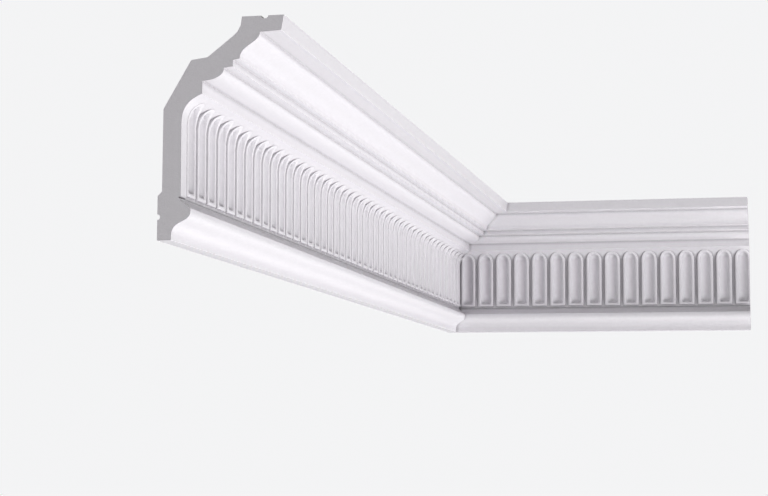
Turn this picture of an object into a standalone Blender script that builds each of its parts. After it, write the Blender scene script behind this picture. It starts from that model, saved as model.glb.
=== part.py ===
# Fluted cornice moulding in an inside corner: two lengths, mitred where they meet.
# Metres, +Z up. X runs out of the left wall, Y along it towards the corner.
# The origin lies on the glued wall face of the left length, at the middle of its length.
import math

import bmesh
import bpy
import numpy as np
from mathutils import Vector

for old in list(bpy.data.objects):
    bpy.data.objects.remove(old, do_unlink=True)

mm = 0.001

# Overall sizes
height = 170.0 * mm                 # ceiling line down to the toe
projection = 98.0 * mm              # wall out to the nose
left_run = 1199.0 * mm              # along the left wall, square cut to wall corner
right_run = 416.0 * mm              # along the far wall, wall corner to square cut
joint_gap = 0.3 * mm                # left between the two mitred faces

# Front of the section, as distances out of the wall
nose_lean = 2.0 * mm                # nose face comes back this much at its foot
soffit_back = 79.4 * mm
ogee_foot = 63.6 * mm
upper_fascia = 58.2 * mm
ovolo_out = 51.0 * mm
lower_fascia = 34.2 * mm
frieze_out = 18.0 * mm
band_back = 16.8 * mm
base_out = 26.4 * mm
toe_out = 11.2 * mm
cove_pull_out = 25.4 * mm           # where the cove's curve is drawn towards, under the fascia
ogee_pull = 0.8 * mm                # how far the two ogees lean at their ends

# The same features, as drops below the ceiling
nose_drop = 11.8 * mm
soffit_drop = 12.4 * mm
ogee_bulge_drop = 20.5 * mm         # the ogee swells down to here, and hollows from the next
ogee_hollow_drop = 22.5 * mm
ogee_drop = 32.3 * mm
fascia_top_drop = 33.2 * mm
fascia_foot_drop = 38.2 * mm
ovolo_top_drop = 40.0 * mm
ovolo_drop = 48.4 * mm
cove_drop = 57.2 * mm
cove_pull_drop = 61.8 * mm
cove_hollow_drop = 68.0 * mm
frieze_top_drop = 80.0 * mm
frieze_drop = 136.2 * mm
band_drop = 138.4 * mm
base_top_drop = 145.6 * mm
base_ogee_drop = 148.4 * mm
base_bulge_drop = 157.2 * mm
base_hollow_drop = 154.5 * mm
base_ogee_foot_drop = 165.5 * mm
step_under = 0.8 * mm               # small fall across the soffit over the ovolo

# Back of the section
wall_strip = 34.0 * mm              # flat face that is glued to the wall
ceiling_strip = 33.0 * mm           # flat face that is glued to the ceiling
back_gap = 3.4 * mm                 # hollow back stands this far off the wall
back_slant_drop = 69.0 * mm
shelf_in = 25.0 * mm
shelf_out = 38.0 * mm
shelf_drop = 31.9 * mm
shelf_out_drop = 30.3 * mm
shoulder = [(7.0 * mm, 14.8 * mm), (3.6 * mm, 11.6 * mm), (1.0 * mm, 7.0 * mm)]   # in, down
glue_groove_radius = 2.2 * mm
wall_groove_drop = 152.2 * mm
ceiling_groove_out = 83.0 * mm

# Flutes
flute_pitch = 25.235 * mm
left_flutes_start = 11.3 * mm       # first flute's edge, from the left length's cut end
right_flutes_start = 16.25 * mm     # first flute's edge, from the wall corner
groove_width = 2.8 * mm             # slot between two flutes' rims
rim_height = 1.4 * mm               # rim above the ground of the frieze
rim_slope = 0.5 * mm                # outer side of a rim leans in this much
rim_width = 2.7 * mm
channel_depth = 3.6 * mm            # below the top of the rim
channel_break = 3.2 * mm            # from the rim to the flatter middle of the channel
arch_drop = 73.6 * mm               # centre of the round top
frame_foot_drop = 134.8 * mm
channel_foot_drop = 131.4 * mm
foot_run = 2.6 * mm                 # height of the hollow end at a channel's foot
arch_steps = 6
ground_row_drop = 60.6 * mm         # row of points just above the arches
ground_rows = 2

# The origin's place on the wall face
origin_drop = 162.2 * mm
origin_along = left_run / 2


def bezier(p0, p1, p2, p3, steps):
    """Points of a cubic curve, both ends included."""
    line = []
    for i in range(steps + 1):
        t = i / steps
        u = 1 - t
        line.append(tuple(
            u ** 3 * a + 3 * u * u * t * b + 3 * u * t * t * c + t ** 3 * d
            for a, b, c, d in zip(p0, p1, p2, p3)))
    return line


def arc(centre, radii, start, end, steps):
    """Points of an ellipse's arc, angles in degrees."""
    line = []
    for i in range(steps + 1):
        a = math.radians(start + (end - start) * i / steps)
        line.append((centre[0] + radii[0] * math.cos(a), centre[1] + radii[1] * math.sin(a)))
    return line


# The section is drawn as points (out of the wall, height), the height being minus the drop.
def front_above_cove():
    """Nose, soffit, ogee, fascia, ovolo and lower fascia, from the ceiling down."""
    ogee_top = soffit_back - 0.2 * mm
    line = [(projection, 0.0), (projection - nose_lean, -nose_drop)]
    line += [(soffit_back, -soffit_drop)]
    line += bezier((ogee_top, -soffit_drop - 0.2 * mm), (ogee_top - ogee_pull, -ogee_bulge_drop),
                   (ogee_foot + ogee_pull, -ogee_hollow_drop), (ogee_foot, -ogee_drop + 0.8 * mm), 8)
    line += [(ogee_foot, -ogee_drop), (upper_fascia, -fascia_top_drop)]
    line += [(upper_fascia, -fascia_foot_drop), (ovolo_out, -fascia_foot_drop - step_under)]
    ovolo_radii = (ovolo_out - lower_fascia, ovolo_drop - ovolo_top_drop)
    line += arc((lower_fascia, -ovolo_top_drop), ovolo_radii, 0, -90, 6)
    return line


cove_steps = 60
cove = bezier((lower_fascia, -cove_drop), (cove_pull_out, -cove_pull_drop),
              (frieze_out, -cove_hollow_drop), (frieze_out, -frieze_top_drop), cove_steps)
ground = cove + [(frieze_out, -frieze_drop)]


def front_below_frieze():
    """Set-back band, base ogee, toe and underside, from the frieze down."""
    line = [(band_back, -band_drop), (base_out, -base_top_drop)]
    line += bezier((base_out, -base_ogee_drop), (base_out - ogee_pull, -base_bulge_drop),
                   (toe_out + ogee_pull, -base_hollow_drop), (toe_out, -base_ogee_foot_drop), 8)
    line += [(toe_out, -height)]
    return line


def back_line():
    """Wall strip, hollow back and ceiling strip, from the toe up to the nose."""
    strip_top = -height + wall_strip
    ceiling_in = projection - ceiling_strip
    line = [(0.0, -height)]
    line += arc((0.0, -wall_groove_drop), (glue_groove_radius, glue_groove_radius), -90, 90, 4)
    line += [(0.0, strip_top), (back_gap, strip_top + back_gap), (back_gap, -back_slant_drop)]
    line += [(shelf_in, -shelf_drop), (shelf_out, -shelf_out_drop)]
    line += [(ceiling_in - inward, -down) for inward, down in shoulder]
    line += [(ceiling_in, 0.0)]
    line += arc((ceiling_groove_out, 0.0), (glue_groove_radius * 1.3, glue_groove_radius), 180, 360, 4)
    return line


# The ground that the flutes stand on, looked up by the drop below the ceiling
ground_out = np.array([p[0] for p in ground])
ground_drop = np.array([-p[1] for p in ground])
ground_run = np.concatenate(([0.0], np.cumsum(np.hypot(np.diff(ground_out), np.diff(ground_drop)))))


def run_at(drop):
    """Length along the ground from the top of the cove, for a drop."""
    return float(np.interp(drop, ground_drop, ground_run))


def on_ground(run, lift):
    """Point of the section at a length along the ground, lifted off it."""
    step = 0.3 * mm
    low, high = max(run - step, 0.0), min(run + step, ground_run[-1])
    along_out = np.interp(high, ground_run, ground_out) - np.interp(low, ground_run, ground_out)
    along_drop = np.interp(high, ground_run, ground_drop) - np.interp(low, ground_run, ground_drop)
    size = math.hypot(along_out, along_drop)
    out = np.interp(run, ground_run, ground_out) + lift * along_drop / size
    drop = np.interp(run, ground_run, ground_drop) + lift * along_out / size
    return float(out), float(-drop)


class Run:
    """One straight run of moulding, drawn along s with points (s, out, height)."""

    def __init__(self):
        self.bm = bmesh.new()
        self.points = {}

    def point(self, s, out, up):
        key = (round(s, 6), round(out, 6), round(up, 6))
        if key not in self.points:
            self.points[key] = self.bm.verts.new((s, out, up))
        return self.points[key]

    def face(self, corners):
        kept = []
        for v in corners:
            if not kept or kept[-1] is not v:
                kept.append(v)
        if kept[0] is kept[-1]:
            kept.pop()
        if len(kept) > 2:
            self.bm.faces.new(kept)

    def ground_point(self, s, run, lift=0.0):
        out, up = on_ground(run, lift)
        return self.point(s, out, up)

    def strip(self, line, s0, s1):
        """Long faces between neighbouring points of a section line."""
        for (a, b), (c, d) in zip(line, line[1:]):
            self.face([self.point(s0, a, b), self.point(s1, a, b),
                       self.point(s1, c, d), self.point(s0, c, d)])


arch_run = run_at(arch_drop)
row_run = run_at(ground_row_drop)
foot_run_end = run_at(frieze_drop)
half_pitch = flute_pitch / 2
frame_half = half_pitch - groove_width / 2


def flute_loop(half_width, foot_drop):
    """Round-topped outline of a flute as (s, run), from the left foot round to the right foot."""
    line = [(-half_width, run_at(foot_drop))]
    for i in range(arch_steps + 1):
        a = math.pi * (1 - i / arch_steps)
        line.append((half_width * math.cos(a), arch_run - half_width * math.sin(a)))
    line.append((half_width, run_at(foot_drop)))
    return line


def side_rows():
    """Runs of the points down a flute's edge, from the cove's top to the frieze's foot."""
    rows = [0.0]
    for i in range(ground_rows + 1):
        rows.append(row_run + (arch_run - row_run) * i / ground_rows)
    return rows + [run_at(frame_foot_drop), foot_run_end]


def add_flute(run, middle):
    rim_half = frame_half - rim_slope
    channel_half = rim_half - rim_width
    floor_lift = rim_height - channel_depth
    break_half = channel_half - channel_break
    radius = (channel_half ** 2 + channel_depth ** 2) / (2 * channel_depth)
    break_lift = rim_height - (math.sqrt(radius ** 2 - break_half ** 2) - radius + channel_depth)
    loops = [
        (flute_loop(frame_half, frame_foot_drop), 0.0),
        (flute_loop(rim_half, frame_foot_drop - rim_slope), rim_height),
        (flute_loop(channel_half, channel_foot_drop), rim_height),
        (flute_loop(break_half, channel_foot_drop - foot_run * 0.45), break_lift)]
    rings = [[run.ground_point(middle + s, r, lift) for s, r in line] for line, lift in loops]

    # Bands between neighbouring loops, the last one closing under the foot
    for outer, inner in zip(rings, rings[1:]):
        count = len(outer)
        for i in range(count):
            j = (i + 1) % count
            run.face([outer[i], outer[j], inner[j], inner[i]])

    # Middle of the channel, a straight line from the arch's centre to the foot
    top = run.ground_point(middle, arch_run, floor_lift)
    foot = run.ground_point(middle, run_at(channel_foot_drop - foot_run), floor_lift)
    last = rings[-1]
    run.face([last[0], last[1], top, foot])
    for a, b in zip(last[1:-2], last[2:-1]):
        run.face([a, b, top])
    run.face([last[-2], last[-1], foot, top])
    run.face([last[-1], last[0], foot])

    # Ground around the rim: columns from the arch up, and a slot's half on each side
    outline = loops[0][0]
    columns = [(-half_pitch, arch_run)] + outline[1:-1] + [(half_pitch, arch_run)]
    grid = []
    for s, start in columns:
        grid.append([run.ground_point(middle + s, row_run + (start - row_run) * i / ground_rows)
                     for i in range(ground_rows + 1)])
    for left, right in zip(grid, grid[1:]):
        for i in range(ground_rows):
            run.face([left[i], right[i], right[i + 1], left[i + 1]])
    run.face([column[0] for column in grid]
             + [run.ground_point(middle + half_pitch, 0.0), run.ground_point(middle - half_pitch, 0.0)])
    frame_foot = run_at(frame_foot_drop)
    for side, ring_arch, ring_foot in ((-1, rings[0][1], rings[0][0]), (1, rings[0][-2], rings[0][-1])):
        run.face([run.ground_point(middle + side * half_pitch, arch_run), ring_arch, ring_foot,
                  run.ground_point(middle + side * half_pitch, frame_foot)])
    run.face([run.ground_point(middle - half_pitch, frame_foot), rings[0][0], rings[0][-1],
              run.ground_point(middle + half_pitch, frame_foot),
              run.ground_point(middle + half_pitch, foot_run_end),
              run.ground_point(middle - half_pitch, foot_run_end)])


def add_plain_ground(run, s0, s1):
    """Ground without flutes, with the same rows of points as the flutes' edges."""
    run.strip([on_ground(r, 0.0) for r in side_rows()], s0, s1)


def add_cut_end_ground(run, s0, s1):
    """Plain ground at the cut end, where the cove has finer steps than beside the flutes."""
    coarse = [on_ground(r, 0.0) for r in side_rows()]
    fine = cove[::cove_steps // 10] + coarse[-2:]
    middle = (max(s0, 0.0) + s1) / 2
    run.strip(fine, s0, middle)
    near = [run.point(s1, *p) for p in coarse[:-2]]
    far = [run.point(middle, *p) for p in fine[:-2]]
    fill_between(run, near, far)
    run.face([near[-1], far[-1], run.point(middle, *fine[-2]), run.point(s1, *coarse[-2])])
    run.strip(coarse[-2:], middle, s1)
    return middle


def fill_between(run, near, far):
    """Triangles between two lines of points that start and end at the same heights."""
    i = j = 0
    while i < len(near) - 1 or j < len(far) - 1:
        next_near = near[i + 1].co.z if i < len(near) - 1 else -1.0
        next_far = far[j + 1].co.z if j < len(far) - 1 else -1.0
        if next_near > next_far:
            run.face([near[i], near[i + 1], far[j]])
            i += 1
        else:
            run.face([near[i], far[j + 1], far[j]])
            j += 1


def cut(bm, place, outward):
    """Cut the body with a plane, drop what lies outward of it and close the cut."""
    everything = bm.verts[:] + bm.edges[:] + bm.faces[:]
    found = bmesh.ops.bisect_plane(bm, geom=everything, dist=1e-7, plane_co=place,
                                   plane_no=outward, clear_outer=True)
    edges = [e for e in found["geom_cut"] if isinstance(e, bmesh.types.BMEdge) and e.is_boundary]
    bmesh.ops.edgeloop_fill(bm, edges=edges)


def make_length(name, flutes_start, s0, s1, shows_cut_end, placed, cuts):
    """One length of moulding. placed turns (s, out, up) into the object's own axes."""
    run = Run()
    count = int((s1 - flutes_start) // flute_pitch)
    flutes_end = flutes_start + count * flute_pitch
    for i in range(count):
        add_flute(run, flutes_start + (i + 0.5) * flute_pitch)
    edge_columns = [s0] + [flutes_start + i * flute_pitch for i in range(count + 1)] + [s1]
    if shows_cut_end:
        edge_columns.insert(1, add_cut_end_ground(run, s0, flutes_start))
    else:
        add_plain_ground(run, s0, flutes_start)
    add_plain_ground(run, flutes_end, s1)

    # Everything but the ground: long faces from the frieze's foot round the back to the cove
    around = front_below_frieze() + back_line() + front_above_cove()
    run.strip(around, s0, s1)
    for outer, inner in ((around[-1], on_ground(0.0, 0.0)), (around[0], on_ground(foot_run_end, 0.0))):
        run.face([run.point(s0, *outer)] + [run.point(s, *inner) for s in edge_columns]
                 + [run.point(s1, *outer)])
    bm = run.bm
    bmesh.ops.triangulate(bm, faces=bm.faces[:])
    for v in bm.verts:
        v.co = placed(*v.co)
    for place, outward in cuts:
        cut(bm, place, outward)
    bmesh.ops.dissolve_degenerate(bm, dist=2e-6, edges=bm.edges[:])
    bmesh.ops.triangulate(bm, faces=bm.faces[:])
    bmesh.ops.recalc_face_normals(bm, faces=bm.faces[:])
    mesh = bpy.data.meshes.new(name)
    bm.to_mesh(mesh)
    bm.free()
    piece = bpy.data.objects.new(name, mesh)
    bpy.context.collection.objects.link(piece)
    return piece


def white_finish(name, colour, roughness):
    material = bpy.data.materials.new(name)
    material.use_nodes = True
    shader = material.node_tree.nodes["Principled BSDF"]
    shader.inputs["Base Color"].default_value = (*colour, 1.0)
    shader.inputs["Roughness"].default_value = roughness
    shader.inputs["Metallic"].default_value = 0.0
    return material


mitre_normal = Vector((1.0, 1.0, 0.0)).normalized()
wall_corner = Vector((0.0, left_run, 0.0))
overrun = 60 * mm                   # drawn past each end, and cut off


def along_left_wall(s, out, up):
    return Vector((out, s, up))


def along_far_wall(s, out, up):
    return Vector((s, left_run - out, up))


left = make_length(
    "left_length", left_flutes_start, -overrun, left_run + overrun, True, along_left_wall,
    [(Vector((0.0, 0.0, 0.0)), Vector((0.0, -1.0, 0.0))),
     (wall_corner - mitre_normal * joint_gap / 2, mitre_normal)])
right = make_length(
    "right_length", right_flutes_start, -overrun, right_run + overrun, False, along_far_wall,
    [(wall_corner + mitre_normal * joint_gap / 2, -mitre_normal),
     (Vector((right_run, 0.0, 0.0)), Vector((1.0, 0.0, 0.0)))])

left.data.materials.append(white_finish("left white coat", (0.84, 0.84, 0.83), 0.55))
right.data.materials.append(white_finish("right white coat", (0.84, 0.84, 0.83), 0.55))

# Both lengths hang from one empty that carries the shift to the origin
frame = bpy.data.objects.new("cornice", None)
bpy.context.collection.objects.link(frame)
frame.location = (0.0, -origin_along, origin_drop)
for piece in (left, right):
    piece.parent = frame
bpy.context.view_layer.update()
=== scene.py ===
# Fluted cornice moulding in an inside corner, white primer over a rigid foam core
import math

import bmesh
import bpy
import numpy as np
from mathutils import Matrix, Vector


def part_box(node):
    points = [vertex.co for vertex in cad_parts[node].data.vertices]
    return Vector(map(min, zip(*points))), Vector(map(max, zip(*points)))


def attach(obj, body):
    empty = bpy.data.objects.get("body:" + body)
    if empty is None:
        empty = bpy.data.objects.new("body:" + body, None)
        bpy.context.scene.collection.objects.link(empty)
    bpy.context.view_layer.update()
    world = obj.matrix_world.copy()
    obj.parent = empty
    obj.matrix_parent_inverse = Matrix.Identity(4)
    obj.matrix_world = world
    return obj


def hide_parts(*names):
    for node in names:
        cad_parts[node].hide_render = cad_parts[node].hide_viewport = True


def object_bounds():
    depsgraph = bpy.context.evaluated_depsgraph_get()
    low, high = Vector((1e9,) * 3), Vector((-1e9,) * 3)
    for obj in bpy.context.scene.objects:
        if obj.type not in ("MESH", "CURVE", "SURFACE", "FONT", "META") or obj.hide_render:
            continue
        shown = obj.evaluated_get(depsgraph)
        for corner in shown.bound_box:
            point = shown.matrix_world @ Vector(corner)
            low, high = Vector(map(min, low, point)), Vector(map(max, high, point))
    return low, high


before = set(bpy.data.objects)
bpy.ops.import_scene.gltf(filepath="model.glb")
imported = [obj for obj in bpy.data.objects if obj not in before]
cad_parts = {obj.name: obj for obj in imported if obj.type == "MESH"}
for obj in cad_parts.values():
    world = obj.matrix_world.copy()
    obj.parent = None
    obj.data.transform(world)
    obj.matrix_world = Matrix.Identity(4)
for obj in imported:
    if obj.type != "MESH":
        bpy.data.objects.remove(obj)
cadLow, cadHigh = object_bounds()
print("frame loaded:", sorted(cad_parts))

mm = 0.001
tiny = 0.001            # lengths under this count as nothing, in mm
arcShare = 0.48         # the most of an edge that the arc at one of its ends may take

# Where the top, the two glued backs and the two square ends lie, read off the solids
leftLow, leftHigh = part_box("left_length")
rightLow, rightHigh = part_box("right_length")
ceilingZ = leftHigh.z
wallX = leftLow.x
nearEndY = leftLow.y
farWallY = rightHigh.y
rightEndX = rightHigh.x
leftRun = (farWallY - nearEndY) / mm
rightRun = (rightEndX - wallX) / mm

# Everything below is in millimetres: distance out from the glued back, and drop below the top
moulding = {
    "height": (leftHigh.z - leftLow.z) / mm,
    "projection": (leftHigh.x - leftLow.x) / mm,
    "noseLean": 2.0,
    "noseDrop": 11.8,
    "soffitBack": 79.4,
    "soffitDrop": 12.4,
    "ogeeBulgeDrop": 20.5,
    "ogeeHollowDrop": 22.5,
    "ogeeFoot": 63.6,
    "ogeeDrop": 32.3,
    "fasciaOut": 58.2,
    "fasciaTopDrop": 33.2,
    "fasciaFootDrop": 38.2,
    "ovoloOut": 51.0,
    "ovoloTopDrop": 40.0,
    "ovoloDrop": 48.4,
    "ovoloSweep": 84,       # degrees of the quarter round that are drawn
    "lowerFascia": 34.2,
    "coveDrop": 58.2,
    "covePull": (26.2, 61.6),
    "coveHollow": (18.6, 65.5),
    "coveSteps": 120,
    "friezeOut": 17.9,
    "friezeTopDrop": 79.0,
    "friezeFootOut": 18.4,
    "friezeDrop": 136.6,
    "stripOut": 16.8,       # the strip below the flutes' feet
    "bandBack": 16.2,
    "bandBackDrop": 137.4,
    "bandOut": 17.9,
    "bandDrops": (138.0, 139.2),
    "bandArris": 0.2,
    "baseOut": 26.4,
    "baseTopDrop": 145.7,
    "baseArris": 1.2,
    "baseOgeeDrop": 148.6,
    "baseBulgeDrop": 157.2,
    "baseHollowDrop": 154.5,
    "toeOut": 11.2,
    "toeTopDrop": 165.5,
    "ogeePull": 0.8,
    "stepUnder": 0.8,
    "arris": 0.55,          # radius on the crisp edges
    "hollow": 0.45,         # radius in the inner corners
    "fineArris": 0.3,       # the same at the frieze's foot and the top strip's inner edge
    "ogeeEase": 1.0,        # straight bit at either end of the ogee
    "ogeeSet": 0.2,         # the ogee starts this much behind the soffit's corner
    "curveSteps": 22,
    # round each sawn end a white line: partly the coat's real edge, partly a painted highlight of the lit
    # arris
    "coatEdgeHighlight": 0.5,        # the white coat seen edge on, round a sawn end
    "coatProud": 0.02,      # keeps that line in front of the core
    "jointGap": 0.04,       # between the mitred faces, filled and painted over in the real joint
}

backSide = {
    "wallStrip": 34.0,
    "ceilingStrip": 33.0,
    "gap": 3.4,             # how far the hollow back stands in from the glued strip's face
    "slantDrop": 69.0,
    "shelfIn": 25.0,
    "shelfInDrop": 31.9,
    "shelfOut": 38.0,
    "shelfOutDrop": 30.3,
    "shoulder": ((7.0, 14.8), (3.6, 11.6), (1.0, 7.0)),   # in from the top strip, and down
    "stripRound": 0.4,
    "bendRound": 1.5,
    "slantRound": 4.0,
    "shelfRound": 2.5,
    "grooveSteps": 12,
    "grooveRadius": 2.2,
    "wallGrooveDrop": 152.2,
    "ceilingGrooveOut": 83.0,
    "ceilingGrooveWide": 1.3,
}

# Each flute has a beaded rim on the frieze's face. Slots are sunk between the flutes,
# and a strip below their feet.
flute = {
    "pitch": 25.235,
    "leftStart": 11.3,      # first flute's edge from the left length's cut end
    "rightStart": 16.25,    # and on the right length from the corner of the two backs
    "slot": 3.7,            # floor between two rims
    "slotSink": 3.2,
    "slotFade": (58.4, 70.5),   # where the slot's floor comes up into the cove
    "slotEndDrop": 122.0,       # and where it starts to come up to the strip below the feet
    "slotFadeReach": 4.2,
    "rimSlope": 0.35,
    "rimWidth": 3.7,
    "beadFoot": 0.15,       # the bead springs from a little below the face and rises above it
    "beadTop": 0.6,
    "beadSteps": 6,
    "nicheShare": 0.12,     # how far the channel's floor follows the cove forward
    "nicheWall": 0.25,
    "channelDepth": 4.1,
    "archDrop": 73.6,       # centre of the round top
    "archRise": 1.7,        # the round top is a little taller than wide
    "archRiseInside": 0.26,
    "archFullness": 0.88,   # 1 for an ellipse, less for squarer shoulders
    "footDrop": 135.0,
    "channelFootDrop": 131.4,
    "footRun": 0.6,         # slope at the foot of a channel, as a share of its sides'
    "footRound": 3.0,       # corners at the foot of a channel
    "footRoundLeast": 0.3,
    "endRise": 0.6,         # height of the innermost line's arch, where it has no width
    "archSteps": 24,
    "channelSteps": 8,
    "groundRows": 10,
}


def bezier(p0, p1, p2, p3, steps):
    t = np.linspace(0.0, 1.0, steps + 1)[:, None]
    p0, p1, p2, p3 = (np.array(p, float) for p in (p0, p1, p2, p3))
    curve = (1 - t) ** 3 * p0 + 3 * (1 - t) ** 2 * t * p1 + 3 * (1 - t) * t ** 2 * p2 + t ** 3 * p3
    return [tuple(p) for p in curve]


def ellipseArc(centre, radii, start, end, steps):
    angles = np.radians(np.linspace(start, end, steps + 1))
    return [(centre[0] + radii[0] * math.cos(a), centre[1] + radii[1] * math.sin(a)) for a in angles]


def softened(points, steps=4):
    # points are (a, b) or (a, b, radius): each one with a radius becomes a tangent arc
    line = []
    for i, point in enumerate(points):
        radius = point[2] if len(point) > 2 else 0.0
        if radius == 0.0 or i in (0, len(points) - 1):
            line.append((point[0], point[1]))
            continue
        here = Vector(point[:2])
        before = Vector(points[i - 1][:2]) - here
        after = Vector(points[i + 1][:2]) - here
        half = before.angle(after) / 2
        reach = min(radius / math.tan(half), before.length * arcShare, after.length * arcShare)
        start = here + before.normalized() * reach
        end = here + after.normalized() * reach
        for k in range(steps + 1):
            t = k / steps
            p = start * (1 - t) ** 2 + here * 2 * t * (1 - t) + end * t ** 2
            line.append((p.x, p.y))
    return line


def frontAboveCove(m):
    r, h = m["arris"], m["hollow"]
    ogeeTop, ogeeFoot, ease = m["soffitBack"] - m["ogeeSet"], m["ogeeFoot"], m["ogeeEase"]
    line = [(m["projection"], 0.0)]
    line += [(m["projection"] - m["noseLean"], m["noseDrop"], r), (m["soffitBack"], m["soffitDrop"], h)]
    line += bezier((ogeeTop, m["soffitDrop"] + ease), (ogeeTop - m["ogeePull"], m["ogeeBulgeDrop"]),
                   (ogeeFoot + m["ogeePull"], m["ogeeHollowDrop"]),
                   (ogeeFoot, m["ogeeDrop"] - ease), m["curveSteps"])
    line += [(ogeeFoot, m["ogeeDrop"], r), (m["fasciaOut"], m["fasciaTopDrop"], h)]
    line += [(m["fasciaOut"], m["fasciaFootDrop"], r)]
    line += [(m["ovoloOut"], m["fasciaFootDrop"] + m["stepUnder"], h)]
    radii = (m["ovoloOut"] - m["lowerFascia"], m["ovoloDrop"] - m["ovoloTopDrop"])
    line += ellipseArc((m["lowerFascia"], m["ovoloTopDrop"]), radii, 0, m["ovoloSweep"], m["curveSteps"])
    line += [(m["lowerFascia"], m["ovoloDrop"], h), (m["lowerFascia"], m["coveDrop"], r)]
    return line


def coveCurve(m):
    return bezier((m["lowerFascia"], m["coveDrop"]), m["covePull"], m["coveHollow"],
                  (m["friezeOut"], m["friezeTopDrop"]), m["coveSteps"])


def frontBelowFrieze(m):
    line = [(m["friezeFootOut"], m["friezeDrop"], m["fineArris"])]
    line += [(m["bandBack"], m["bandBackDrop"], m["bandArris"])]
    line += [(m["bandOut"], drop, m["bandArris"]) for drop in m["bandDrops"]]
    line += [(m["baseOut"], m["baseTopDrop"], m["baseArris"])]
    line += bezier((m["baseOut"], m["baseOgeeDrop"]), (m["baseOut"] - m["ogeePull"], m["baseBulgeDrop"]),
                   (m["toeOut"] + m["ogeePull"], m["baseHollowDrop"]), (m["toeOut"], m["toeTopDrop"]),
                   m["curveSteps"])
    line += [(m["toeOut"], m["height"], m["arris"]), (0.0, m["height"])]
    return line


def backLine(m, b):
    stripTop = m["height"] - b["wallStrip"]
    ceilingIn = m["projection"] - b["ceilingStrip"]
    g = b["grooveRadius"]
    line = [(0.0, m["height"])]
    line += ellipseArc((0.0, b["wallGrooveDrop"]), (g, g), 90, -90, b["grooveSteps"])
    line += [(0.0, stripTop, b["stripRound"]), (b["gap"], stripTop - b["gap"], b["bendRound"])]
    line += [(b["gap"], b["slantDrop"], b["slantRound"])]
    line += [(b["shelfIn"], b["shelfInDrop"], b["shelfRound"])]
    line += [(b["shelfOut"], b["shelfOutDrop"], b["shelfRound"])]
    line += [(ceilingIn - inward, down, b["bendRound"]) for inward, down in b["shoulder"]]
    line += [(ceilingIn, 0.0, m["fineArris"])]
    wide = g * b["ceilingGrooveWide"]
    line += ellipseArc((b["ceilingGrooveOut"], 0.0), (wide, g), 180, 0, b["grooveSteps"])
    line += [(m["projection"], 0.0)]
    return line


# The ground that the flutes stand on, looked up by its drop below the top
fascia = softened(frontAboveCove(moulding) + [moulding["covePull"]])[:-1]
below = softened([(moulding["friezeOut"], moulding["friezeTopDrop"])] + frontBelowFrieze(moulding))[1:]
leastStep = 0.05        # the cove's points nearer than this to the arris above are left out, in mm
covePoints = [p for p in coveCurve(moulding) if p[1] > fascia[-1][1] + leastStep]
groundLine = [fascia[-1]] + covePoints + [below[0]]
groundOut, groundDrop = np.array(groundLine).T
groundTop, groundFoot = float(groundDrop[0]), float(groundDrop[-1])


def onGround(drop, lift=0.0):
    return float(np.interp(drop, groundDrop, groundOut)) + lift, float(drop)


def nicheGround(drop, lift):
    # the floor of a channel lies further back than the cove round it
    out = onGround(drop)[0]
    flat = moulding["friezeOut"]
    return max(out - flat, 0.0) * flute["nicheShare"] + min(out, flat) + lift, drop


def sunk(x, drop):
    # depth of the slot beside a flute, fading out at its top into the cove
    top, full = flute["slotFade"]
    t = min(max((drop - top) / (full - top), 0.0), 1.0)
    return -flute["slotSink"] * t * t * (3 - 2 * t) * min(abs(x) / flute["slotFadeReach"], 1.0)


def fluteSection(f):
    # (distance in from the slot's floor, lift off the face) over the bead, then across the channel
    half = (f["pitch"] - f["slot"]) / 2
    lip = f["rimSlope"] + f["rimWidth"]
    bead = []
    for k in range(f["beadSteps"] + 1):
        a = math.pi * k / f["beadSteps"]
        bead.append((f["rimSlope"] + f["rimWidth"] * (1 - math.cos(a)) / 2,
                     (f["beadFoot"] + f["beadTop"]) * math.sin(a) - f["beadFoot"]))
    channelHalf = half - lip
    depth = f["channelDepth"] - f["beadFoot"]
    radius = (channelHalf ** 2 + depth ** 2) / (2 * depth)
    channel = []
    for k in range(f["channelSteps"] + 1):
        across = f["nicheWall"] + (channelHalf - f["nicheWall"]) * k / f["channelSteps"]
        sink = math.sqrt(radius ** 2 - (channelHalf - across) ** 2) - (radius - depth)
        channel.append((lip + across, -f["beadFoot"] - sink))
    return bead, channel, half, lip


beadLine, channelLine, frameHalf, lipInset = fluteSection(flute)


def fluteOutline(f, inset):
    # round-topped outline as (along, drop): left foot, arch, right foot, and the rounded foot corners
    width = frameHalf - inset
    share = min(inset / lipInset, 1.0)
    rise = width + f["archRise"] + f["archRiseInside"] * lipInset * share
    if width < tiny:
        rise = f["endRise"]
    foot = f["footDrop"] - share * (f["footDrop"] - f["channelFootDrop"])
    foot -= max(inset - lipInset, 0.0) * f["footRun"]
    bend = min(max(f["footRound"] * share ** 2, f["footRoundLeast"]), max(width, tiny))
    right = [(width, f["archDrop"]), (width, moulding["friezeTopDrop"]), (width, f["slotEndDrop"])]
    right += [(width - bend * (1 - math.cos(a)), foot - bend * (1 - math.sin(a)))
              for a in np.radians((0, 22.5, 45, 67.5, 90))]
    left = [(-x, y) for x, y in reversed(right)]
    full = f["archFullness"]
    top = [(-width * math.copysign(abs(math.cos(a)) ** full, math.cos(a)),
            f["archDrop"] - rise * math.sin(a) ** full)
           for a in np.linspace(0, math.pi, f["archSteps"] + 1)[1:-1]]
    return left + top + right


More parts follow.
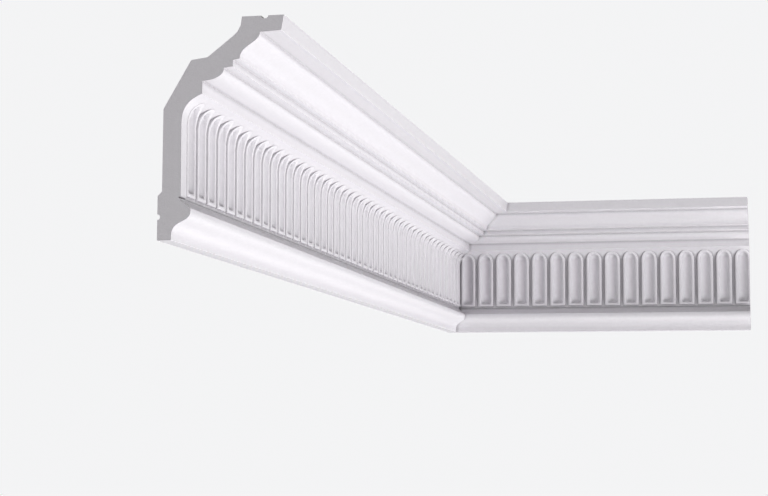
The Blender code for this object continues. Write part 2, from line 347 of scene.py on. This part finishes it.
class RunMesh:
    # one straight run, drawn as (along, out, drop) and kept free of double points
    def __init__(self):
        self.bm = bmesh.new()
        self.found = {}

    def point(self, along, out, drop):
        key = (round(along, 3), round(out, 3), round(drop, 3))
        if key not in self.found:
            self.found[key] = self.bm.verts.new((along, out, drop))
        return self.found[key]

    def ground(self, along, drop, lift=0.0):
        return self.point(along, *onGround(drop, lift))

    def face(self, corners):
        kept = [v for i, v in enumerate(corners) if v is not corners[i - 1]]
        if len(set(kept)) > 2:
            self.bm.faces.new(kept)

    def strips(self, line, columns):
        for start, end in zip(columns, columns[1:]):
            for (a, b), (c, d) in zip(line, line[1:]):
                self.face([self.point(start, a, b), self.point(end, a, b),
                           self.point(end, c, d), self.point(start, c, d)])

    def changing(self, lines, columns):
        # like strips, with a line of its own at each column
        for start, end, near, far in zip(columns, columns[1:], lines, lines[1:]):
            for i in range(len(near) - 1):
                self.face([self.point(start, *near[i]), self.point(end, *far[i]),
                           self.point(end, *far[i + 1]), self.point(start, *near[i + 1])])


outline = fluteOutline(flute, 0.0)
archPart = [p for p in outline if p[1] <= flute["archDrop"] + tiny]
sideFoot = outline[-5][1]
innerRings = [[(x, *onGround(y, lift)) for x, y in fluteOutline(flute, inset)]
              for inset, lift in beadLine]
innerRings += [[(x, *nicheGround(y, lift)) for x, y in fluteOutline(flute, inset)]
               for inset, lift in channelLine]


def addFlute(run, middle, isSunk):
    # isSunk says for the left and the right side whether a slot is cut there
    def lift(x, drop):
        strip = moulding["stripOut"] - onGround(drop)[0]
        if drop > flute["footDrop"] - tiny:
            return strip
        if drop > flute["slotEndDrop"] + tiny and isSunk[x > 0]:
            return strip
        return sunk(x, drop) if isSunk[x > 0] else 0.0

    outer = [run.ground(middle + x, y, lift(x, y)) for x, y in outline]
    rings = [outer] + [[run.point(middle + x, out, drop) for x, out, drop in ring] for ring in innerRings]
    for outside, inside in zip(rings, rings[1:]):
        for i in range(len(outside)):
            run.face([outside[i - 1], outside[i], inside[i], inside[i - 1]])

    # columns of ground from the arch up to the cove's top
    halfPitch, arch, rows = flute["pitch"] / 2, flute["archDrop"], flute["groundRows"]
    grid = []
    for x, start in [(-halfPitch, arch)] + archPart + [(halfPitch, arch)]:
        drops = [groundTop + (start - groundTop) * i / rows for i in range(rows + 1)]
        grid.append([run.ground(middle + x, drop, lift(x, drop)) for drop in drops])
    for left, right in zip(grid, grid[1:]):
        for i in range(rows):
            run.face([left[i], right[i], right[i + 1], left[i + 1]])

    # half a slot on each side, and the strip below the foot
    feet = []
    for side, corner in ((-1, outer[4::-1]), (1, outer[-5:])):
        edge, rim = side * halfPitch, side * frameHalf
        levels = [arch, moulding["friezeTopDrop"], flute["slotEndDrop"], sideFoot]
        for a, b in zip(levels, levels[1:]):
            run.face([run.ground(middle + x, drop, lift(x, drop))
                      for x, drop in ((edge, a), (rim, a), (rim, b), (edge, b))])
        outside = lift(edge, groundFoot) if isSunk[side > 0] else 0.0
        feet.append([corner[-1], run.ground(middle + rim, groundFoot, lift(rim, groundFoot))])
        run.face([run.ground(middle + edge, sideFoot, lift(edge, sideFoot))] + corner
                 + [feet[-1][1], run.ground(middle + edge, groundFoot, outside)])
    run.face(feet[0] + feet[1][::-1])


coatSlot, coreSlot, backSlot = 0, 1, 2      # the order of the finishes on each length
weld = 0.002            # points nearer than this are one, in mm
sharpAngle = 32         # degrees between two faces that meet in a crisp edge


def inOrder(edges):
    # the corners of the cut's outline, walked edge by edge
    line = list(edges[0].verts)
    left = set(edges[1:])
    while left:
        step = next(edge for edge in line[-1].link_edges if edge in left)
        left.remove(step)
        line.append(step.other_vert(line[-1]))
    return line[:-1]


def stepInside(corners, facing, distance):
    # the outline's corners moved inwards, each along the middle of its two edges
    points = np.array([v.co for v in corners])
    following = np.roll(points, -1, axis=0)
    along = (following - points) / np.linalg.norm(following - points, axis=1)[:, None]
    side = np.cross(facing, along)
    if np.dot(np.cross(points, following).sum(axis=0), facing) < 0:
        side = -side
    inward = side + np.roll(side, 1, axis=0)
    inward /= np.maximum((inward ** 2).sum(axis=1) / 2, 0.5)[:, None]
    return [Vector(p) for p in points + inward * distance]


def cutFlat(bm, place, outward):
    # saws the run with a plane: the new face is bare core; round it a thin white line, partly the coat's
    # real edge and partly a painted highlight along the lit arris
    everything = bm.verts[:] + bm.edges[:] + bm.faces[:]
    found = bmesh.ops.bisect_plane(bm, geom=everything, dist=1e-7, plane_co=place,
                                   plane_no=outward, clear_outer=True)
    edges = [e for e in found["geom_cut"] if isinstance(e, bmesh.types.BMEdge) and e.is_boundary]
    rim = inOrder(edges)
    for face in bmesh.ops.edgeloop_fill(bm, edges=edges)["faces"]:
        face.material_index = coreSlot
        face.smooth = False
    proud = outward * moulding["coatProud"] * mm
    inside = stepInside(rim, outward, moulding["coatEdgeHighlight"] * mm)
    line = [(bm.verts.new(v.co + proud), bm.verts.new(p + proud)) for v, p in zip(rim, inside)]
    for i, (outer, inner) in enumerate(line):
        bm.faces.new([outer, line[i - 1][0], line[i - 1][1], inner]).material_index = coatSlot


def makeRun(name, firstFlute, start, end, toWorld, cuts):
    run = RunMesh()
    count = int((end - firstFlute) // flute["pitch"])
    flutesEnd = firstFlute + count * flute["pitch"]
    for i in range(count):
        addFlute(run, firstFlute + (i + 0.5) * flute["pitch"], (i > 0, i < count - 1))
    arch, rows = flute["archDrop"], flute["groundRows"]
    drops = [groundTop + (arch - groundTop) * i / rows for i in range(rows + 1)]
    drops += [moulding["friezeTopDrop"], flute["slotEndDrop"], sideFoot, groundFoot]
    plain = [onGround(drop) for drop in drops]
    run.strips(plain, [start, firstFlute])
    run.strips(plain, [flutesEnd, end])

    # every band above and below shares the flutes' columns: their edges and their rims
    columns, arched = [start, firstFlute], set()
    for i in range(count):
        left = firstFlute + i * flute["pitch"]
        slot = flute["slot"] / 2
        arched.add(len(columns))
        columns += [left + slot, left + flute["pitch"] - slot, left + flute["pitch"]]
    columns.append(end)
    notched = [(min(out, moulding["stripOut"]) if drop < moulding["bandBackDrop"] else out, drop)
               for out, drop in below]
    lines = [below] * 2 + [notched] * (len(columns) - 4) + [below] * 2
    run.changing(lines, columns)
    run.strips(fascia[:-1], columns)
    for i, (a, b) in enumerate(zip(columns, columns[1:])):
        middle = (a + b) / 2
        under = [run.point(b, *fascia[-1])]
        if i in arched:
            under += [run.ground(middle + x, groundTop) for x, drop in archPart[-2:0:-1]]
        under += [run.point(a, *fascia[-1])]
        run.face([run.point(a, *fascia[-2]), run.point(b, *fascia[-2])] + under)
    frontFaces = set(run.bm.faces)
    run.strips(softened(backLine(moulding, backSide)), columns)
    for face in run.bm.faces:
        face.smooth = True
        face.material_index = coatSlot if face in frontFaces else backSlot
    bmesh.ops.remove_doubles(run.bm, verts=run.bm.verts[:], dist=weld)
    for v in run.bm.verts:
        v.co = toWorld(*v.co)
    bmesh.ops.recalc_face_normals(run.bm, faces=run.bm.faces[:])
    for place, outward in cuts:
        cutFlat(run.bm, place, outward)
    bmesh.ops.recalc_face_normals(run.bm, faces=run.bm.faces[:])

    mesh = bpy.data.meshes.new(name)
    run.bm.to_mesh(mesh)
    run.bm.free()
    piece = bpy.data.objects.new(name, mesh)
    bpy.context.collection.objects.link(piece)
    mesh.set_sharp_from_angle(angle=math.radians(sharpAngle))
    triangles = sum(len(p.vertices) - 2 for p in mesh.polygons)
    print(name, "triangles:", triangles)
    return piece


def onLeftWall(along, out, drop):
    return Vector((wallX + out * mm, nearEndY + along * mm, ceilingZ - drop * mm))


def onFarWall(along, out, drop):
    return Vector((wallX + along * mm, farWallY - out * mm, ceilingZ - drop * mm))


overrun = 40.0          # each run is drawn this far past its ends, then sawn
mitre = Vector((1.0, 1.0, 0.0)).normalized()
corner = Vector((wallX, farWallY, 0.0))
halfGap = mitre * moulding["jointGap"] * mm / 2
leftPiece = makeRun("left_moulding", flute["leftStart"], -overrun, leftRun + overrun, onLeftWall,
                    [(Vector((0, nearEndY, 0)), Vector((0, -1, 0))), (corner - halfGap, mitre)])
rightPiece = makeRun("right_moulding", flute["rightStart"], -overrun, rightRun + overrun, onFarWall,
                     [(corner + halfGap, -mitre), (Vector((rightEndX, 0, 0)), Vector((1, 0, 0)))])


# Shader maths as expressions
class Value:
    def __init__(self, tree, socket):
        self.tree = tree
        self.socket = socket

    def math(self, operation, other=None, swap=False):
        node = self.tree.nodes.new("ShaderNodeMath")
        node.operation = operation
        terms = [self] if other is None else [self, other]
        for place, term in enumerate(reversed(terms) if swap else terms):
            if isinstance(term, Value):
                self.tree.links.new(term.socket, node.inputs[place])
            else:
                node.inputs[place].default_value = term
        return Value(self.tree, node.outputs[0])

    def __add__(self, other):
        return self.math("ADD", other)

    def __radd__(self, other):
        return self.math("ADD", other)

    def __sub__(self, other):
        return self.math("SUBTRACT", other)

    def __rsub__(self, other):
        return self.math("SUBTRACT", other, swap=True)

    def __mul__(self, other):
        return self.math("MULTIPLY", other)

    def __rmul__(self, other):
        return self.math("MULTIPLY", other)

    def __pow__(self, other):
        return self.math("POWER", other)

    def __rpow__(self, other):
        return self.math("POWER", other, swap=True)


class Finish:
    # a material, or a world: node() makes any node, with its settings first and its sockets after
    def __init__(self, name, kind=bpy.data.materials, shader="Principled BSDF", **shaderValues):
        self.owner = kind.new(name)
        self.owner.use_nodes = True
        self.tree = self.owner.node_tree
        self.shader = self.tree.nodes[shader]
        for socket, value in shaderValues.items():
            self.shader.inputs[socket].default_value = value

    def node(self, kind, settings=None, output=0, **sockets):
        made = self.tree.nodes.new(kind)
        for key, value in (settings or {}).items():
            setattr(made, key, value)
        for key, value in sockets.items():
            spot = made.inputs[int(key[1:])] if key[0] == "_" else made.inputs[key]
            if isinstance(value, Value):
                self.tree.links.new(value.socket, spot)
            else:
                spot.default_value = value
        return Value(self.tree, made.outputs[output])

    def place(self):
        return self.node("ShaderNodeTexCoord", output=3)

    def noise(self, place, scale, detail=3.0, roughness=0.5):
        return self.node("ShaderNodeTexNoise", Vector=place, Scale=scale, Detail=detail,
                         Roughness=roughness)

    def paintedCornerShade(self, reach):
        # painted shade: 1 in the open, towards 0 in slots and inner corners, where it greys the coat's
        # colour
        return self.node("ShaderNodeAmbientOcclusion", {"samples": 12}, output=1, Distance=reach)

    def mixColour(self, factor, first, second):
        return self.node("ShaderNodeMix", {"data_type": "RGBA"}, output=2, _0=factor, _6=first, _7=second)

    def link(self, value, socket):
        self.tree.links.new(value.socket, self.shader.inputs[socket])


coat = {
    "colour": (0.85, 0.838, 0.857, 1.0),
    "shade": (0.82, 0.808, 0.827, 1.0),
    # painted shade: the grey that slots, creases and inner corners take, how far it reaches and how
    # strongly
    "paintedShadeColour": (0.56, 0.552, 0.565, 1.0),
    "paintedShadeReach": 0.0045,
    "paintedShadePower": 1.2,
    "roughness": 0.5,
    "roughnessChange": 0.12,
    "grain": 900.0,         # fine speckle of the sprayed primer, per metre
    "ripple": 260.0,        # slow waves left by the mould
    "grainDepth": 0.00001,
    "rippleDepth": 0.00003,
}


def whiteCoat(c):
    f = Finish("white primer", Roughness=c["roughness"])
    place = f.place()
    ripple = f.noise(place, c["ripple"], 2.0)
    grain = f.noise(place, c["grain"], 3.0, 0.6)
    # painted shade: the coat's colour goes grey in slots, creases and inner corners
    paintedShadeOpenness = f.paintedCornerShade(c["paintedShadeReach"]) ** c["paintedShadePower"]
    paint = f.mixColour(ripple, c["colour"], c["shade"])
    f.link(f.mixColour(paintedShadeOpenness, c["paintedShadeColour"], paint), "Base Color")
    f.link(c["roughness"] + (grain - 0.5) * c["roughnessChange"], "Roughness")
    height = grain * c["grainDepth"] + ripple * c["rippleDepth"]
    f.link(f.node("ShaderNodeBump", Strength=1.0, Distance=1.0, Height=height), "Normal")
    return f.owner


core = {
    "colour": (0.86, 0.847, 0.866, 1.0),
    "cells": (0.79, 0.779, 0.796, 1.0),
    "roughness": 0.85,
    "cellScale": 1500.0,
    "cellDepth": 0.00008,
    # painted shade: the cells' pits are darkened towards the cells' colour
    "pitShadeMark": 0.6,        # how much of the cells' colour their pits take
    "blotch": 120.0,        # wider patches in the foam, per metre
    "blotchMark": 0.2,
}


def foamCore(c):
    f = Finish("sawn foam core", Roughness=c["roughness"])
    place = f.place()
    cells = f.node("ShaderNodeTexVoronoi", {"feature": "F1"}, Vector=place, Scale=c["cellScale"])
    blotch = f.noise(place, c["blotch"])
    # painted shade in the cells' pits, where the bump sinks, plus the foam's real blotches
    pitShadeAndBlotch = (1 - cells) ** 3.0 * c["pitShadeMark"] + blotch * c["blotchMark"]
    f.link(f.mixColour(pitShadeAndBlotch, c["colour"], c["cells"]), "Base Color")
    f.link(f.node("ShaderNodeBump", Strength=1.0, Distance=1.0, Height=cells * c["cellDepth"]), "Normal")
    return f.owner


rawBack = {
    "colour": (0.80, 0.79, 0.77, 1.0),
    "shade": (0.73, 0.72, 0.70, 1.0),
    "roughness": 0.7,
    "cloud": 60.0,          # soft patches of shade, per metre
    "grain": 500.0,
    "grainDepth": 0.00006,
}


def backSkin(c):
    f = Finish("moulded back skin", Roughness=c["roughness"])
    place = f.place()
    f.link(f.mixColour(f.noise(place, c["cloud"], 4.0), c["colour"], c["shade"]), "Base Color")
    height = f.noise(place, c["grain"]) * c["grainDepth"]
    f.link(f.node("ShaderNodeBump", Strength=1.0, Distance=1.0, Height=height), "Normal")
    return f.owner


finishes = [whiteCoat(coat), foamCore(core), backSkin(rawBack)]
for piece, side in ((leftPiece, "left"), (rightPiece, "right")):
    for material in finishes:
        piece.data.materials.append(material)
    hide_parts(side + "_length")
    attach(piece, "root")
print("finishes on")

# Camera at the photograph's place: yaw to the left of +Y, pitch up, roll counterclockwise, in degrees
photoCamera = {
    "place": (0.46541, -1.26946, -0.31792),   # from the near end's top back corner, metres
    "yaw": 12.816,
    "pitch": 6.090,
    "roll": 0.292,
    "lens": 83.42,
    "sensor": 36.0,
    "clip": (0.02, 50.0),
}


def makeCamera(c):
    yaw, pitch, roll = (math.radians(c[key]) for key in ("yaw", "pitch", "roll"))
    data = bpy.data.cameras.new("camera")
    data.lens = c["lens"]
    data.sensor_width = c["sensor"]
    data.clip_start, data.clip_end = c["clip"]
    camera = bpy.data.objects.new("camera", data)
    bpy.context.collection.objects.link(camera)
    turn = (Matrix.Rotation(yaw, 4, "Z") @ Matrix.Rotation(math.pi / 2 + pitch, 4, "X")
            @ Matrix.Rotation(roll, 4, "Z"))
    nearCorner = Vector((wallX, nearEndY, ceilingZ))
    camera.matrix_world = Matrix.Translation(nearCorner + Vector(c["place"])) @ turn
    bpy.context.scene.camera = camera


studio = {
    "floorDrop": 6.0,       # low enough for a view from below to stay above the floor
    "floorSize": 120.0,
    "floorColour": (0.78, 0.78, 0.78, 1.0),
    "floorRoughness": 0.9,
    "floorGlow": 0.39,      # the floor is a soft light from below
    "world": (0.99, 0.986, 0.99, 1.0),          # light from all round
    "worldStrength": 1.0,
    "overhead": (0.29, 0.29, 0.29, 1.0),        # and dimmer light from above
    "dimFrom": (0.15, 0.75),
    "backdrop": (0.95, 0.95, 0.955, 1.0),       # what shows behind the moulding
    "gamma": 0.5,           # crisper contrast on the white coat
    "key": {"from": (0.641, -0.299, -0.707), "distance": 3.2, "size": 1.2, "watts": 35.6},
    "fill": {"from": (0.455, 0.542, -0.707), "distance": 3.2, "size": 1.2, "watts": 13.0},
}


def makeStudio(s):
    middle = Vector(((wallX + rightEndX) / 2, (nearEndY + farWallY) / 2, ceilingZ))
    z = cadLow.z - s["floorDrop"]
    half = s["floorSize"] / 2
    mesh = bpy.data.meshes.new("floor")
    corners = [(-half, -half), (half, -half), (half, half), (-half, half)]
    mesh.from_pydata([(middle.x + x, middle.y + y, z) for x, y in corners], [], [(0, 1, 2, 3)])
    floor = bpy.data.objects.new("floor", mesh)
    bpy.context.collection.objects.link(floor)
    paint = Finish("floor paint", **{"Roughness": s["floorRoughness"], "Base Color": s["floorColour"],
                                     "Emission Color": (1.0, 1.0, 1.0, 1.0),
                                     "Emission Strength": s["floorGlow"]})
    mesh.materials.append(paint.owner)
    sky = Finish("studio", bpy.data.worlds, "Background", Strength=s["worldStrength"])
    up = sky.node("ShaderNodeSeparateXYZ", output=2, Vector=sky.node("ShaderNodeTexCoord", output=0))
    low, high = s["dimFrom"]
    overhead = sky.node("ShaderNodeMapRange", {"interpolation_type": "SMOOTHSTEP"},
                        **{"Value": up, "From Min": low, "From Max": high})
    light = sky.mixColour(overhead, s["world"], s["overhead"])
    seen = sky.node("ShaderNodeLightPath", output=0)
    sky.link(sky.mixColour(seen, light, s["backdrop"]), "Color")
    bpy.context.scene.world = sky.owner
    for name in ("key", "fill"):
        light = s[name]
        data = bpy.data.lights.new(name, "AREA")
        data.size = light["size"]
        data.energy = light["watts"]
        lamp = bpy.data.objects.new(name, data)
        bpy.context.collection.objects.link(lamp)
        direction = Vector(light["from"]).normalized()
        lamp.location = middle + direction * light["distance"]
        lamp.rotation_euler = direction.to_track_quat("Z", "Y").to_euler()


makeCamera(photoCamera)
makeStudio(studio)
bpy.context.scene.view_settings.view_transform = "Standard"
bpy.context.scene.view_settings.gamma = studio["gamma"]
print("camera and studio ready")
